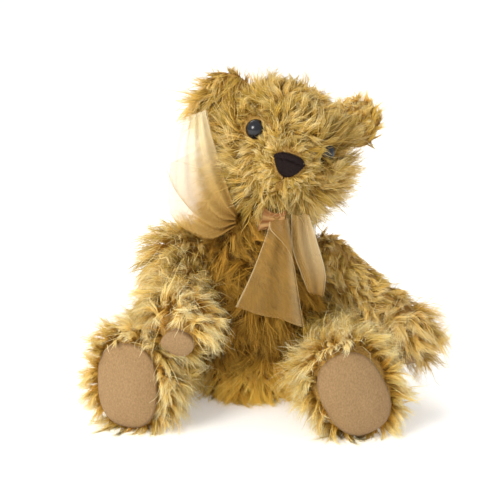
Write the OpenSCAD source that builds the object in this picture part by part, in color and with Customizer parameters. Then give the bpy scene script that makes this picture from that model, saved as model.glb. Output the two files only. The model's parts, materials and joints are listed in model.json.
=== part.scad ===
// Jointed teddy bear, sitting. The origin is the centre of the flat seat, on the surface the bear sits on.
// The bear faces -Y and +Z is up, so its left side is +X. Each limb and the head is a stuffed fabric shell,
// held to the torso by a disc joint: two board discs, two washers, and one bolt with a lock nut.

/* [Torso] */
// Height of the torso before the neck flat is cut
torso_h = 126; // [122:1:130]
// Radius of the belly
belly_r = 37.5; // [36.5:0.5:38.5]
// Thickness of the backed mohair with the dense root of its pile
cloth_t = 1.6; // [1.2:0.1:1.8]

/* [Head] */
// Height of the head, from neck flat to crown
head_h = 74; // [72:1:76]
// Radius of the skull
skull_r = 35; // [34:0.5:36]
// Radius of the muzzle
muzzle_r = 18; // [17:0.5:19]
// How far the centre of the muzzle stands in front of the neck axis
muzzle_out = 27; // [25:1:29]
// Sideways tilt of the neck joint towards the bear's left, in degrees
neck_tilt = 19; // [15:1:20]
// How far the head is turned to the bear's left as it sits, in degrees
head_turn = 6; // [0:1:14]
// Radius of an ear
ear_r = 16; // [15:0.5:17]
// Radius of an eye
eye_r = 5.8; // [5.4:0.1:6.2]
// Half the width of the stitched nose
nose_r = 8.6; // [8:0.1:9]

/* [Arms] */
// Radius of the top of the arm
shoulder_r = 16; // [15.5:0.5:16.5]
// Radius of the arm between shoulder and paw
arm_r = 13.2; // [12.5:0.1:13.5]
// Radius of the paw
paw_r = 14.5; // [14:0.5:15]
// Radius of the bend of the arm
arm_bend_r = 74; // [70:1:76]
// Angle that the arm bends through
arm_bend = 54; // [50:1:56]
// How far the right arm is swung forward as the bear sits, in degrees
right_arm_swing = 40; // [38:1:42]
// How far the right arm leans outward, in degrees
right_arm_lean = 11; // [9:1:12]
// How far the left arm is swung forward as the bear sits, in degrees
left_arm_swing = 5; // [2:1:8]
// How far the left arm leans outward, in degrees
left_arm_lean = 30; // [29:1:33]

/* [Legs] */
// Distance from the hip joint to the sole
leg_l = 90; // [86:1:92]
// Radius of the thigh
thigh_r = 22; // [21.8:0.1:22.4]
// Radius of the ankle
ankle_r = 18; // [17:0.5:19]
// Radius of the foot
foot_r = 21; // [20:0.5:21.5]
// Half the distance between the heel's centre and the toe's centre
foot_rise = 7; // [6:0.5:7.5]
// How far the right leg points outward as the bear sits, in degrees
right_leg_splay = 17.5; // [16:0.5:19]
// How far the left leg points outward as the bear sits, in degrees
left_leg_splay = 5.5; // [4:0.5:7]
// How far the right foot rolls inward about its leg, in degrees
right_foot_roll = 0; // [0:1:4]
// How far the left foot rolls inward about its leg, in degrees
left_foot_roll = 26; // [22:1:30]

/* [Disc joints] */
// Radius of the discs in the neck
neck_disc_r = 13; // [12:0.5:13.5]
// Radius of the discs in a shoulder
shoulder_disc_r = 8.2; // [8:0.1:8.4]
// Radius of the discs in a hip
hip_disc_r = 11.5; // [11:0.1:12]
// Radius of a bolt
bolt_r = 2; // [1.8:0.1:2.2]

/* [Ribbon] */
// Width of the ribbon
ribbon_w = 38; // [34:1:40]
// Thickness given to the ribbon, so that each length of it is a solid
ribbon_t = 0.7; // [0.6:0.1:0.8]

/* [Hidden] */
LIMBS = ["right_arm", "left_arm", "right_leg", "left_leg"];
$fn = 48;

mohair = "#c39a52";
filling = "#f2efe6";
felt = "#cfae90";
board = "#8a6a45";
steel = "#b9bcc0";
glass_black = "#15161c";
thread = "#2a1c18";
organza = "#e2bd92";

play = 0.1;         // between pieces of one body that lie together
skin_gap = 0.4;     // between the cloth of the torso and the cloth of a limb
shaft_play = 0.05;  // round a bolt, in every disc, washer and nut
over = 1;           // how far a cut runs past what it cuts
far = 200;          // longer than anything that it cuts

// Hardware of a disc joint
board_t = 2.5;
washer_t = 0.8;
washer_r = 5.5;
bolt_head_r = 4;
bolt_head_h = 2.6;
bolt_past_nut = 0.4;
nut_r = 4.2;
nut_h = 3.6;
cloth_hole_r = bolt_r + 0.15;

// Where each joint's layers lie along the joint's axis, measured away from the plane between the two cloths
disc_z = skin_gap / 2 + cloth_t + play;
washer_z = disc_z + board_t + play;
end_z = washer_z + washer_t + play;
nut_end_z = end_z + nut_h;
pocket_z = nut_end_z + bolt_past_nut + 6 * play;

// Torso: an egg with a flat seat, widest below its middle
torso_mid = 0.36;
torso_low = 0.5;
torso_high = 0.72;

// Head: a near ball whose bottom ends in the flat that turns on the neck
skull_mid = 0.5;
skull_low = 0.572;
skull_high = 0.5;
muzzle_drop = 4;
muzzle_h = head_h * skull_mid - muzzle_drop;

// Joint places: the point on the joint's plane, then the direction of its axis away from the torso
neck_at = [2, -5, 116];
foot_clear = 0.3;   // between the heel and the surface that the bear sits on
hip_z = foot_rise + foot_r + foot_clear;
hip_out = 28;
hip_forward = 4;
shoulder_out = 31;
shoulder_tilt = 22;
right_shoulder_yaw = 20;
left_shoulder_yaw = 0;
right_shoulder_z = 78;
left_shoulder_z = 75;
right_shoulder_forward = -6.5;
left_shoulder_forward = 1;
hip_flat_r = 35;
shoulder_flat_r = 30;

// How far the middle of each limb stands out from its joint's plane
arm_off = 12.5;
leg_off = 18;
paw_pad_r = 9;
pad_t = 1.3;

function is_left(limb) = limb == "left_arm" || limb == "left_leg";
function is_arm(limb) = limb == "right_arm" || limb == "left_arm";
function side(limb) = is_left(limb) ? 1 : -1;
function pick(limb, pair) = is_left(limb) ? pair[1] : pair[0];

// Compass angle of a limb's joint axis: 0 points to the bear's left, 180 to its right
function axis_yaw(limb) = limb == "right_arm" ? 180 + right_shoulder_yaw
    : limb == "left_arm" ? -left_shoulder_yaw
    : limb == "right_leg" ? 180 - right_leg_splay
    : left_leg_splay;
function axis_rise(limb) = is_arm(limb) ? shoulder_tilt : 0;
function joint_out(limb) = is_arm(limb) ? shoulder_out : hip_out;
function joint_forward(limb) = is_arm(limb)
    ? pick(limb, [right_shoulder_forward, left_shoulder_forward])
    : hip_forward;
function joint_z(limb) = is_arm(limb) ? pick(limb, [right_shoulder_z, left_shoulder_z]) : hip_z;
function arm_lean(limb) = pick(limb, [right_arm_lean, left_arm_lean]);
function foot_roll(limb) = pick(limb, [right_foot_roll, left_foot_roll]);

// How far a limb is turned forward about its joint: a leg lies level
function swing(limb) = is_arm(limb) ? pick(limb, [right_arm_swing, left_arm_swing]) : 90;

// A joint lies out from the torso's axis along its own axis, and forward along its own plane
function joint_at(limb) = [
    cos(axis_yaw(limb)) * joint_out(limb) + side(limb) * sin(axis_yaw(limb)) * joint_forward(limb),
    sin(axis_yaw(limb)) * joint_out(limb) - side(limb) * cos(axis_yaw(limb)) * joint_forward(limb),
    joint_z(limb)
];

function limb_disc_r(limb) = is_arm(limb) ? shoulder_disc_r : hip_disc_r;
function limb_flat_r(limb) = is_arm(limb) ? shoulder_flat_r : hip_flat_r;

// Share of the full radius that an egg has at share t of its height
function egg_share(t, mid, low, high) = t < mid
    ? sqrt(max(0, 1 - pow((mid - t) / low, 2)))
    : sqrt(max(0, 1 - pow((t - mid) / high, 2)));

// Puts its children in the frame of a limb's joint: Z is the axis, away from the torso, and X points down
module at_joint(limb) {
    translate(joint_at(limb))
        rotate([0, 90 - axis_rise(limb), axis_yaw(limb)])
            children();
}

// Puts its children in a limb's own frame: X runs along the limb, and -Y faces forward and up
module at_limb(limb) {
    at_joint(limb)
        mirror([0, is_left(limb) ? 0 : 1, 0])
            rotate([0, 0, -swing(limb)])
                children();
}

// The neck's frame: Z is the axis, up, and -Y is forward. The head's frame is the same, turned with the head.
module at_neck() {
    translate(neck_at)
        rotate([0, neck_tilt, 0])
            children();
}

module at_head() {
    at_neck()
        rotate([0, 0, head_turn])
            children();
}

// A solid of revolution with the outline of an egg, made smaller by inset all over
module egg(h, r, mid, low, high, inset) {
    steps = 24;
    rotate_extrude()
        polygon(concat(
            [[0, inset]],
            [for (i = [0 : steps])
                let (t = i / steps)
                [max(0, (r - inset) * egg_share(t, mid, low, high)), inset + t * (h - 2 * inset)]],
            high > 1 - mid ? [[0, h - inset]] : []
        ));
}

// A ball drawn out sideways: two ball ends, half a length apart each way from the middle, along Z
module capsule(r, half) {
    steps = 8;
    rotate_extrude()
        polygon(concat(
            [for (i = [0 : steps]) let (a = -90 + 90 * i / steps) [r * cos(a), -half + r * sin(a)]],
            [for (i = [0 : steps]) let (a = 90 * i / steps) [r * cos(a), half + r * sin(a)]]
        ));
}

// Everything beyond a joint's plane on the torso's side, within reach of the limb
module torso_flat(limb, inset) {
    at_joint(limb)
        translate([0, 0, -skin_gap / 2 - inset])
            cylinder(r = limb_flat_r(limb) + inset, h = far / 2);
}

// Outside of the torso when inset is 0, and the inside of its cloth when inset is cloth_t
module torso_form(inset) {
    difference() {
        egg(torso_h, belly_r, torso_mid, torso_low, torso_high, inset);
        for (limb = LIMBS) torso_flat(limb, inset);
        at_neck()
            translate([-far / 2, -far / 2, -skin_gap / 2 - inset])
                cube(far);
    }
}

// The room that a joint's hardware takes on one side of its plane; dir is 1 outward or -1 towards the torso
module hardware_pocket(disc_r, dir) {
    mirror([0, 0, dir > 0 ? 0 : 1])
        cylinder(r = disc_r + play, h = pocket_z);
}

// A bolt's hole goes through the cloth at its joint only, and not through the far side
module bolt_hole() {
    cylinder(r = cloth_hole_r, h = 2 * disc_z, center = true);
}

module joint_disc(disc_r, dir) {
    color(board)
        mirror([0, 0, dir > 0 ? 0 : 1])
            translate([0, 0, disc_z])
                difference() {
                    cylinder(r = disc_r, h = board_t);
                    translate([0, 0, -over])
                        cylinder(r = bolt_r + shaft_play, h = board_t + 2 * over);
                }
}

module joint_washer(dir) {
    color(steel)
        mirror([0, 0, dir > 0 ? 0 : 1])
            translate([0, 0, washer_z])
                difference() {
                    cylinder(r = washer_r, h = washer_t);
                    translate([0, 0, -over])
                        cylinder(r = bolt_r + shaft_play, h = washer_t + 2 * over);
                }
}

// The bolt's head is on the limb's side, and its shank ends just past the nut
module joint_bolt() {
    shank_end = nut_end_z + bolt_past_nut;
    color(steel) {
        translate([0, 0, end_z])
            cylinder(r = bolt_head_r, h = bolt_head_h);
        translate([0, 0, -shank_end])
            cylinder(r = bolt_r, h = shank_end + end_z + bolt_head_h / 2);
    }
}

module joint_nut() {
    color(steel)
        translate([0, 0, -nut_end_z])
            difference() {
                cylinder(r = nut_r, h = nut_h, $fn = 6);
                translate([0, 0, -over])
                    cylinder(r = bolt_r + shaft_play, h = nut_h + 2 * over);
            }
}

module torso_shell() {
    color(mohair)
        difference() {
            torso_form(0);
            torso_form(cloth_t);
            for (limb = LIMBS) at_joint(limb) bolt_hole();
            at_neck() bolt_hole();
        }
}

module torso_stuffing() {
    color(filling)
        difference() {
            torso_form(cloth_t + play);
            for (limb = LIMBS) at_joint(limb) hardware_pocket(limb_disc_r(limb), -1);
            at_neck() hardware_pocket(neck_disc_r, -1);
        }
}

module torso_disc(limb) {
    at_joint(limb) joint_disc(limb_disc_r(limb), -1);
}

// One washer inside the torso for each of the five joints
module torso_washers() {
    for (limb = LIMBS) at_joint(limb) joint_washer(-1);
    at_neck() joint_washer(-1);
}

// Where an eye's centre lies in the head's frame, for side 1 or -1
eye_side = 21.3;
eye_up = 11;
eye_h = head_h * skull_mid + eye_up;
eye_skull_r = skull_r * egg_share(eye_h / head_h, skull_mid, skull_low, skull_high);
eye_out = sqrt(pow(eye_skull_r, 2) - pow(eye_side, 2));
shank_r = 1.4;
shank_l = 11;
shank_pocket_r = 5;
lock_washer_r = 4.4;
lock_washer_t = 0.8;
lock_washer_in = 5.2;   // from the eye's centre to the far side of its washer

// Z is the line from the middle of the skull out through the eye's centre
module at_eye(s) {
    at_head()
        translate([0, 0, head_h * skull_mid])
            rotate([0, acos(eye_up / norm([eye_side, eye_out, eye_up])), atan2(-eye_out, s * eye_side)])
                translate([0, 0, norm([eye_side, eye_out, eye_up])])
                    children();
}

module head_form(inset) {
    at_head() {
        egg(head_h, skull_r, skull_mid, skull_low, skull_high, inset);
        translate([0, -muzzle_out, muzzle_h])
            sphere(muzzle_r - inset);
    }
}

module head_shell() {
    color(mohair)
        difference() {
            head_form(0);
            head_form(cloth_t);
            at_neck() bolt_hole();
            at_neck()
                translate([-far / 2, -far / 2, skin_gap / 2 - far])
                    cube(far);
            for (s = [-1, 1])
                at_eye(s)
                    cylinder(r = shank_r + play, h = 2 * shank_l, center = true);
        }
}

module head_stuffing() {
    color(filling)
        difference() {
            head_form(cloth_t + play);
            at_neck() hardware_pocket(neck_disc_r, 1);
            for (s = [-1, 1])
                at_eye(s)
                    translate([0, 0, -shank_l - 1])
                        cylinder(r = shank_pocket_r, h = shank_l);
        }
}

// An ear is a rounded flap whose base follows the skull that it's sewn to, the left one a little higher
ear_side = 38;
ear_up = 23;
ear_askew = 4.5;
ear_back = 3;
ear_turn = 20;
ear_t = 8;

module ear(s) {
    steps = 6;
    color(mohair)
        difference() {
            at_head()
                translate([s * ear_side, ear_back, head_h * skull_mid + ear_up + s * ear_askew])
                    rotate([90, 0, s * ear_turn])
                        rotate_extrude()
                            polygon([for (i = [-steps : steps])
                                let (a = 90 * i / steps)
                                [ear_r * cos(a), ear_t / 2 * sin(a)]]);
            head_form(-play);
        }
}

module eye(s) {
    color(glass_black) {
        difference() {
            at_eye(s) sphere(eye_r);
            head_form(-play);
        }
        at_eye(s)
            translate([0, 0, -shank_l])
                cylinder(r = shank_r, h = shank_l + 1);
    }
}

// A toothed washer on each eye's shank, against the inside of the cloth
module eye_lock_washers() {
    color(steel)
        for (s = [-1, 1])
            at_eye(s)
                translate([0, 0, -lock_washer_in])
                    difference() {
                        cylinder(r = lock_washer_r, h = lock_washer_t);
                        translate([0, 0, -over])
                            cylinder(r = shank_r + shaft_play, h = lock_washer_t + 2 * over);
                    }
}

// The nose is a low dome of satin stitch on the upper front of the muzzle: one ball standing out of another
nose_angle = 16;
nose_ball_r = 10;
nose_ball_at = sqrt(pow(muzzle_r + play, 2) - pow(nose_r, 2)) - sqrt(pow(nose_ball_r, 2) - pow(nose_r, 2));

module nose() {
    color(thread)
        at_head()
            translate([0, -muzzle_out, muzzle_h])
                difference() {
                    rotate([90 - nose_angle, 0, 0])
                        translate([0, 0, nose_ball_at])
                            sphere(nose_ball_r);
                    sphere(muzzle_r + play);
                }
}

// The mouth is one upright stitch below the nose, and a short stitch each way from its foot
stitch_r = 0.6;
mouth_from = 12;
mouth_l = 18;
mouth_gap = 2;
mouth_half = 11;

module mouth_stitching() {
    reach = muzzle_r + stitch_r + play;
    color(thread)
        at_head()
            translate([0, -muzzle_out, muzzle_h]) {
                rotate([0, 90, 0])
                    rotate([0, 0, -90 + mouth_from])
                        rotate_extrude(angle = mouth_l)
                            translate([reach, 0])
                                circle(stitch_r, $fn = 24);
                rotate([mouth_from + mouth_l + mouth_gap, 0, 0])
                    rotate([0, 0, -90 - mouth_half])
                        rotate_extrude(angle = 2 * mouth_half)
                            translate([reach, 0])
                                circle(stitch_r, $fn = 24);
            }
}

// Middle of an arm: a bend that starts down the arm and turns forward, leaning away from the torso
module along_arm(limb) {
    translate([0, 0, arm_off])
        rotate([0, -arm_lean(limb), 0])
            children();
}

module at_paw(limb) {
    along_arm(limb)
        translate([0, -arm_bend_r, 0])
            rotate([0, 0, -arm_bend])
                translate([0, arm_bend_r, 0])
                    children();
}

module arm_form(limb, inset) {
    at_limb(limb)
        difference() {
            union() {
                along_arm(limb) {
                    sphere(shoulder_r - inset);
                    translate([0, -arm_bend_r, 0])
                        rotate([0, 0, 90 - arm_bend])
                            rotate_extrude(angle = arm_bend)
                                translate([arm_bend_r, 0])
                                    circle(arm_r - inset);
                }
                at_paw(limb) sphere(paw_r - inset);
            }
            translate([-far / 2, -far / 2, skin_gap / 2 + inset - far])
                cube(far);
        }
}

// Directions of the right and left palms from the middle of the paw: along the arm, down, and out
palm_to = [[0.72, 0.68, 0.1], [0.72, 0.25, -0.65]];

module paw_pad(limb) {
    palm = pick(limb, palm_to);
    color(felt)
        at_limb(limb)
            at_paw(limb)
                rotate([0, acos(palm.z / norm(palm)), atan2(palm.y, palm.x)])
                    intersection() {
                        difference() {
                            sphere(paw_r + pad_t);
                            sphere(paw_r + play);
                        }
                        cylinder(r = paw_pad_r, h = far / 2);
                    }
}

// The middle of the foot is sole_in behind the sole. The foot isn't cut by the joint's plane, and the cut
// ends ankle_gap short of it.
sole_in = 9.5;
ankle_gap = 2;

module leg_form(limb, inset) {
    steps = 10;
    r = thigh_r - inset;
    foot_x = leg_l - sole_in;
    at_limb(limb)
        difference() {
            union() {
                translate([0, 0, leg_off])
                    rotate([0, 90, 0])
                        rotate_extrude()
                            polygon(concat(
                                [for (i = [0 : steps])
                                    let (a = -90 + 85 * i / steps)
                                    [r * cos(a), r * sin(a)]],
                                [[ankle_r - inset, foot_x], [0, foot_x]]
                            ));
                translate([foot_x, 0, leg_off])
                    rotate([90 + foot_roll(limb), 0, 0])
                        capsule(foot_r - inset, foot_rise);
            }
            translate([-far / 2, -far / 2, skin_gap / 2 + inset - far])
                cube([far / 2 + foot_x - foot_r - ankle_gap, far, far]);
            translate([leg_l - inset, -far / 2, -far / 2])
                cube(far);
        }
}

// The sole is a flat felt oval on the cut end of the foot
pad_r = 18.2;

module foot_pad(limb) {
    color(felt)
        at_limb(limb)
            translate([leg_l + play / 2, 0, leg_off])
                rotate([foot_roll(limb), 0, 0])
                    rotate([0, 90, 0])
                        linear_extrude(pad_t) {
                            for (end = [-1, 1])
                                translate([0, end * foot_rise])
                                    circle(pad_r);
                            square([2 * pad_r, 2 * foot_rise], center = true);
                        }
}

module limb_form(limb, inset) {
    if (is_arm(limb)) arm_form(limb, inset);
    else leg_form(limb, inset);
}

module limb_shell(limb) {
    color(mohair)
        difference() {
            limb_form(limb, 0);
            limb_form(limb, cloth_t);
            at_joint(limb) bolt_hole();
        }
}

module limb_stuffing(limb) {
    color(filling)
        difference() {
            limb_form(limb, cloth_t + play);
            at_joint(limb) hardware_pocket(limb_disc_r(limb), 1);
        }
}

// The ribbon goes round the neck just above the joint, and is tied in a bow under the chin
collar_r = 25.8;
collar_z = 0.8;
collar_w = 6.5;

module neck_ribbon() {
    color(organza)
        at_neck()
            translate([0, 0, collar_z])
                difference() {
                    cylinder(r = collar_r + ribbon_t, h = collar_w);
                    translate([0, 0, -over])
                        cylinder(r = collar_r, h = collar_w + 2 * over);
                }
}

// The knot lies across the front of the collar, a little to the bear's left
knot_l = 15;
knot_r = 5.2;
knot_at = [4, -32, 2];

module bow_knot() {
    color(organza)
        at_neck()
            translate(knot_at - [knot_l / 2, 0, 0])
                rotate([0, 90, 0])
                    egg(knot_l, knot_r, 0.5, 0.6, 0.6, 0);
}

// Outline of a loop seen along the ribbon's edge: a drop, narrow where it leaves the knot
function drop(l, w) = [for (i = [0 : 23]) let (a = i * 15 + 7.5)
    [l * (1 + sin(a)) / 2, w * cos(a) * (1 + sin(a)) / 2]];

// A loop of ribbon of length l and belly w, with its edge along Z, starting at the origin and running along X
module ribbon_loop(l, w, width) {
    linear_extrude(width, center = true)
        difference() {
            polygon(drop(l, w));
            translate([2 * ribbon_t, 0])
                polygon(drop(l - 3 * ribbon_t, w - 2 * ribbon_t));
        }
}

// The right loop stands up beside the head, and the left loop hangs beside the front tail
right_loop_at = [-27, -37, 106];
right_loop_turn = [90, -98, 6];
right_loop_l = 74;
right_loop_belly = 9;
left_loop_at = [25, -36, 111];
left_loop_turn = [90, 80, 6];
left_loop_l = 42;
left_loop_belly = 5;
left_loop_w = ribbon_w * 0.53;   // folded along its length

module bow_right_loop() {
    color(organza)
        translate(right_loop_at)
            rotate(right_loop_turn)
                rotate([90, 0, 0])
                    ribbon_loop(right_loop_l, right_loop_belly, ribbon_w);
}

module bow_left_loop() {
    color(organza)
        translate(left_loop_at)
            rotate(left_loop_turn)
                rotate([90, 0, 0])
                    ribbon_loop(left_loop_l, left_loop_belly, left_loop_w);
}

// A tail is a flat length of ribbon that opens out from the knot to its cut end. The front tail hangs over
// the chest, and the right tail stands up behind the right loop.
tail_skew = 3;      // how much longer one edge is than the other
front_tail_at = [10, -42, 108];
front_tail_turn = [-9, 3, 0];
front_tail_l = 54;
front_tail_top = 12;
right_tail_at = [-24, -24, 108];
right_tail_turn = [0, 162, 0];
right_tail_l = 48;
right_tail_top = 14;
right_tail_end = ribbon_w * 0.79;   // gathered a little

module ribbon_tail(l, top, end) {
    rotate([90, 0, 0])
        linear_extrude(ribbon_t, center = true)
            polygon([[-top / 2, 0], [top / 2, 0], [end / 2, -l], [-end / 2, tail_skew - l]]);
}

module bow_front_tail() {
    color(organza)
        translate(front_tail_at)
            rotate(front_tail_turn)
                ribbon_tail(front_tail_l, front_tail_top, ribbon_w);
}

module bow_right_tail() {
    color(organza)
        translate(right_tail_at)
            rotate(right_tail_turn)
                ribbon_tail(right_tail_l, right_tail_top, right_tail_end);
}

torso_shell();
torso_stuffing();
at_neck() joint_disc(neck_disc_r, -1);  // neck_torso_disc
torso_disc("right_arm");  // right_shoulder_torso_disc
torso_disc("left_arm");  // left_shoulder_torso_disc
torso_disc("right_leg");  // right_hip_torso_disc
torso_disc("left_leg");  // left_hip_torso_disc
torso_washers();
head_shell();
head_stuffing();
ear(-1);  // right_ear
ear(1);  // left_ear
eye(-1);  // right_eye
eye(1);  // left_eye
eye_lock_washers();
nose();
mouth_stitching();
at_neck() joint_disc(neck_disc_r, 1);  // neck_head_disc
at_neck() joint_bolt();  // neck_bolt
at_neck() joint_washer(1);  // neck_head_washer
at_neck() joint_nut();  // neck_lock_nut
for (limb = LIMBS) {
    limb_shell(limb);
    limb_stuffing(limb);
    at_joint(limb) joint_disc(limb_disc_r(limb), 1);
    at_joint(limb) joint_bolt();
    at_joint(limb) joint_washer(1);
    at_joint(limb) joint_nut();
}
paw_pad("right_arm");  // right_paw_pad
paw_pad("left_arm");  // left_paw_pad
foot_pad("right_leg");  // right_foot_pad
foot_pad("left_leg");  // left_foot_pad
neck_ribbon();
bow_knot();
bow_right_loop();
bow_left_loop();
bow_front_tail();
bow_right_tail();
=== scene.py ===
import json
import math

import bmesh
import bpy
import numpy as np
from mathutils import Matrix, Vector


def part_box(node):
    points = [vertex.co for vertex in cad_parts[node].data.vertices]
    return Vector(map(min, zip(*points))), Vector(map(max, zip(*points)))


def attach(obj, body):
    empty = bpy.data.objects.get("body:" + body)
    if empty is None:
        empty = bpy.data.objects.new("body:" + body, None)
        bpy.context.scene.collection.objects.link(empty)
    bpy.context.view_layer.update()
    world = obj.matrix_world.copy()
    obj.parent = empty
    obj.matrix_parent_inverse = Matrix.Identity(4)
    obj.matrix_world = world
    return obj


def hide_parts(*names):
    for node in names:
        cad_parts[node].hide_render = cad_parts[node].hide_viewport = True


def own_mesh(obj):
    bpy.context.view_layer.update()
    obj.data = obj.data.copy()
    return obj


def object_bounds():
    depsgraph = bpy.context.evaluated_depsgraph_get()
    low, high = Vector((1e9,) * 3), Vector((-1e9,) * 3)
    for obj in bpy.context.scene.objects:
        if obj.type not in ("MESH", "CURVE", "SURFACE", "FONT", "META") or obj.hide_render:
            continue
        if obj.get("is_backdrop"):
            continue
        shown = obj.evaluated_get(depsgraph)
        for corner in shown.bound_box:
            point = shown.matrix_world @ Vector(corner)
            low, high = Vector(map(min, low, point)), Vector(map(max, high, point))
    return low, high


# A jointed mohair bear. Lengths are in metres, the bear faces -Y, and its left side is +X.
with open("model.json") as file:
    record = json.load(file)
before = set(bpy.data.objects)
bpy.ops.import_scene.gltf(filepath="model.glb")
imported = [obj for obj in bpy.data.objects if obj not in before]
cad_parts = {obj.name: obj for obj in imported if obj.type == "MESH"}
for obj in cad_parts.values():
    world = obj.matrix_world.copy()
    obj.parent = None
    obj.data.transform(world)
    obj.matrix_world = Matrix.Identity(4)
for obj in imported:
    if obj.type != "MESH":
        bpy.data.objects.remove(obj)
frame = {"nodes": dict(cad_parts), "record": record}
cad_low, cad_high = (np.array(corner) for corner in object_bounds())
nodes = frame["nodes"]
joints = {j["name"]: j for j in frame["record"]["behaviour"]["joints"]}
scene = bpy.context.scene
MM = 0.001
CAMERA_TARGET = (-3.4 * MM, 0, 87.5 * MM)
CAMERA_DISTANCE = 844 * MM


# ------ camera, light and floor

def in_scene(name, data):
    """A new object that holds data."""
    obj = bpy.data.objects.new(name, data)
    scene.collection.objects.link(obj)
    return obj


def aim(obj, place, target):
    """Puts a camera or a light at a place, facing a target."""
    obj.location = place
    obj.rotation_mode = "QUATERNION"
    obj.rotation_quaternion = (target - Vector(place)).to_track_quat("-Z", "Y")


def make_camera():
    """A long lens in front of the bear, a little above it."""
    target = Vector(CAMERA_TARGET)
    elevation = math.radians(15)
    back = Vector((0, -math.cos(elevation), math.sin(elevation)))
    data = bpy.data.cameras.new("camera")
    data.lens = 100
    data.sensor_width = 36
    data.clip_start = 0.05
    scene.camera = in_scene("camera", data)
    aim(scene.camera, target + back * CAMERA_DISTANCE, target)


def area_light(name, place, power):
    """A warm, square soft light that faces the bear's chest."""
    data = bpy.data.lights.new(name, "AREA")
    data.size = 0.5
    data.energy = power
    data.color = (1, 0.98, 0.94)
    chest = Vector((0, 0, 100 * MM))
    aim(in_scene(name, data), place, chest)


def make_studio():
    """A pale floor in a white room, with a soft key light from the upper left."""
    scene.view_settings.view_transform = "Standard"
    world = bpy.data.worlds.new("studio")
    world.use_nodes = True
    background = world.node_tree.nodes["Background"].inputs
    background["Color"].default_value = (1, 1, 1, 1)
    background["Strength"].default_value = 0.78
    scene.world = world
    area_light("key", (-0.75, -0.95, 0.8), 15)
    area_light("rim", (-0.4, 0.8, 0.9), 6)
    half = 6.0                                      # half the floor's side
    corners = [(-half, -half, 0), (half, -half, 0), (half, half, 0), (-half, half, 0)]
    floor = mesh_object("studio_floor", corners, [(0, 1, 2, 3)])
    material, _ = new_material("studio_floor_paper", (0.95, 0.95, 0.945), 0.9,
                               Emission_Color=(1, 1, 1, 1), Emission_Strength=0.28)
    floor.data.materials.append(material)
    floor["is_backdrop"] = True


# ------ small helpers

def unit(v):
    """Vectors along the last axis, made of length one."""
    return v / np.maximum(np.linalg.norm(v, axis=-1, keepdims=True), 1e-12)


def dot(a, b):
    return (a * b).sum(-1)[..., None]


def smooth(t):
    """0 below 0, 1 above 1, and an ease between."""
    t = np.clip(t, 0, 1)
    return t * t * (3 - 2 * t)


class Waves:
    """A smooth random field: a sum of sine waves about the given size."""

    def __init__(self, seed, size, count=9):
        rng = np.random.default_rng(seed)
        self.k = unit(rng.normal(size=(count, 3))) * rng.uniform(0.6, 1.7, (count, 1)) * 2 * math.pi / size
        self.phase = rng.uniform(0, 2 * math.pi, count)

    def at(self, p):
        return np.sin(p @ self.k.T + self.phase).sum(-1) / math.sqrt(len(self.phase) / 2)


def mesh_object(name, points, faces):
    """A smooth-shaded object made from points and faces."""
    mesh = bpy.data.meshes.new(name)
    mesh.from_pydata([tuple(map(float, p)) for p in points], [], [tuple(map(int, f)) for f in faces])
    mesh.update()
    mesh.polygons.foreach_set("use_smooth", [True] * len(mesh.polygons))
    return in_scene(name, mesh)


def closed_object(name, points, faces):
    """A smooth-shaded object whose faces all look outward."""
    obj = mesh_object(name, points, faces)
    bm = bmesh.new()
    bm.from_mesh(obj.data)
    bmesh.ops.recalc_face_normals(bm, faces=bm.faces)
    bm.to_mesh(obj.data)
    bm.free()
    return obj


def points_of(mesh, kind="co"):
    """The places of a mesh's points, or their normals when kind is "normal"."""
    values = np.zeros(len(mesh.vertices) * 3)
    mesh.vertices.foreach_get(kind, values)
    return values.reshape(-1, 3)


def set_points(mesh, points):
    mesh.vertices.foreach_set("co", points.astype(np.float32).ravel())
    mesh.update()


def paint(mesh, name, colours):
    """Gives each point of a mesh a colour, in an attribute of the given name."""
    rgba = np.concatenate([colours, np.ones((*colours.shape[:-1], 1))], -1)
    tint = mesh.attributes.new(name, "FLOAT_COLOR", "POINT")
    tint.data.foreach_set("color", rgba.astype(np.float32).ravel())


def centre(node):
    low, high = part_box(node)
    return np.array((low + high) / 2)


def axes_of(node):
    """A CAD node's middle and its own axes, from its shortest to its longest."""
    p = points_of(nodes[node].data)
    axes = np.linalg.eigh(np.cov((p - p.mean(0)).T))[1].T
    along = p @ axes.T
    low, high = along.min(0), along.max(0)
    order = np.argsort(high - low)
    return (low + high) / 2 @ axes, axes[order], (high - low)[order]


def applied(obj):
    """obj with its modifiers made real."""
    dg = bpy.context.evaluated_depsgraph_get()
    mesh = bpy.data.meshes.new_from_object(obj.evaluated_get(dg), depsgraph=dg)
    mesh.name = obj.name
    obj.modifiers.clear()
    obj.data = mesh
    mesh.polygons.foreach_set("use_smooth", [True] * len(mesh.polygons))
    return obj


# ------ materials

def new_material(name, colour, roughness, **more):
    """A Principled material and its shader node, with more of the node's inputs set by name."""
    material = bpy.data.materials.new(name)
    material.use_nodes = True
    shader = material.node_tree.nodes["Principled BSDF"]
    more.update(Base_Color=(*colour, 1), Roughness=roughness)
    for key, value in more.items():
        shader.inputs[key.replace("_", " ")].default_value = value
    return material, shader


def add_node(material, kind, **values):
    """A node of a kind, with its input sockets and properties set by name."""
    node = material.node_tree.nodes.new(kind)
    for key, value in values.items():
        if key in node.inputs:
            node.inputs[key].default_value = value
        else:
            setattr(node, key, value)
    return node


def link(material, source, target):
    material.node_tree.links.new(source, target)


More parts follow.
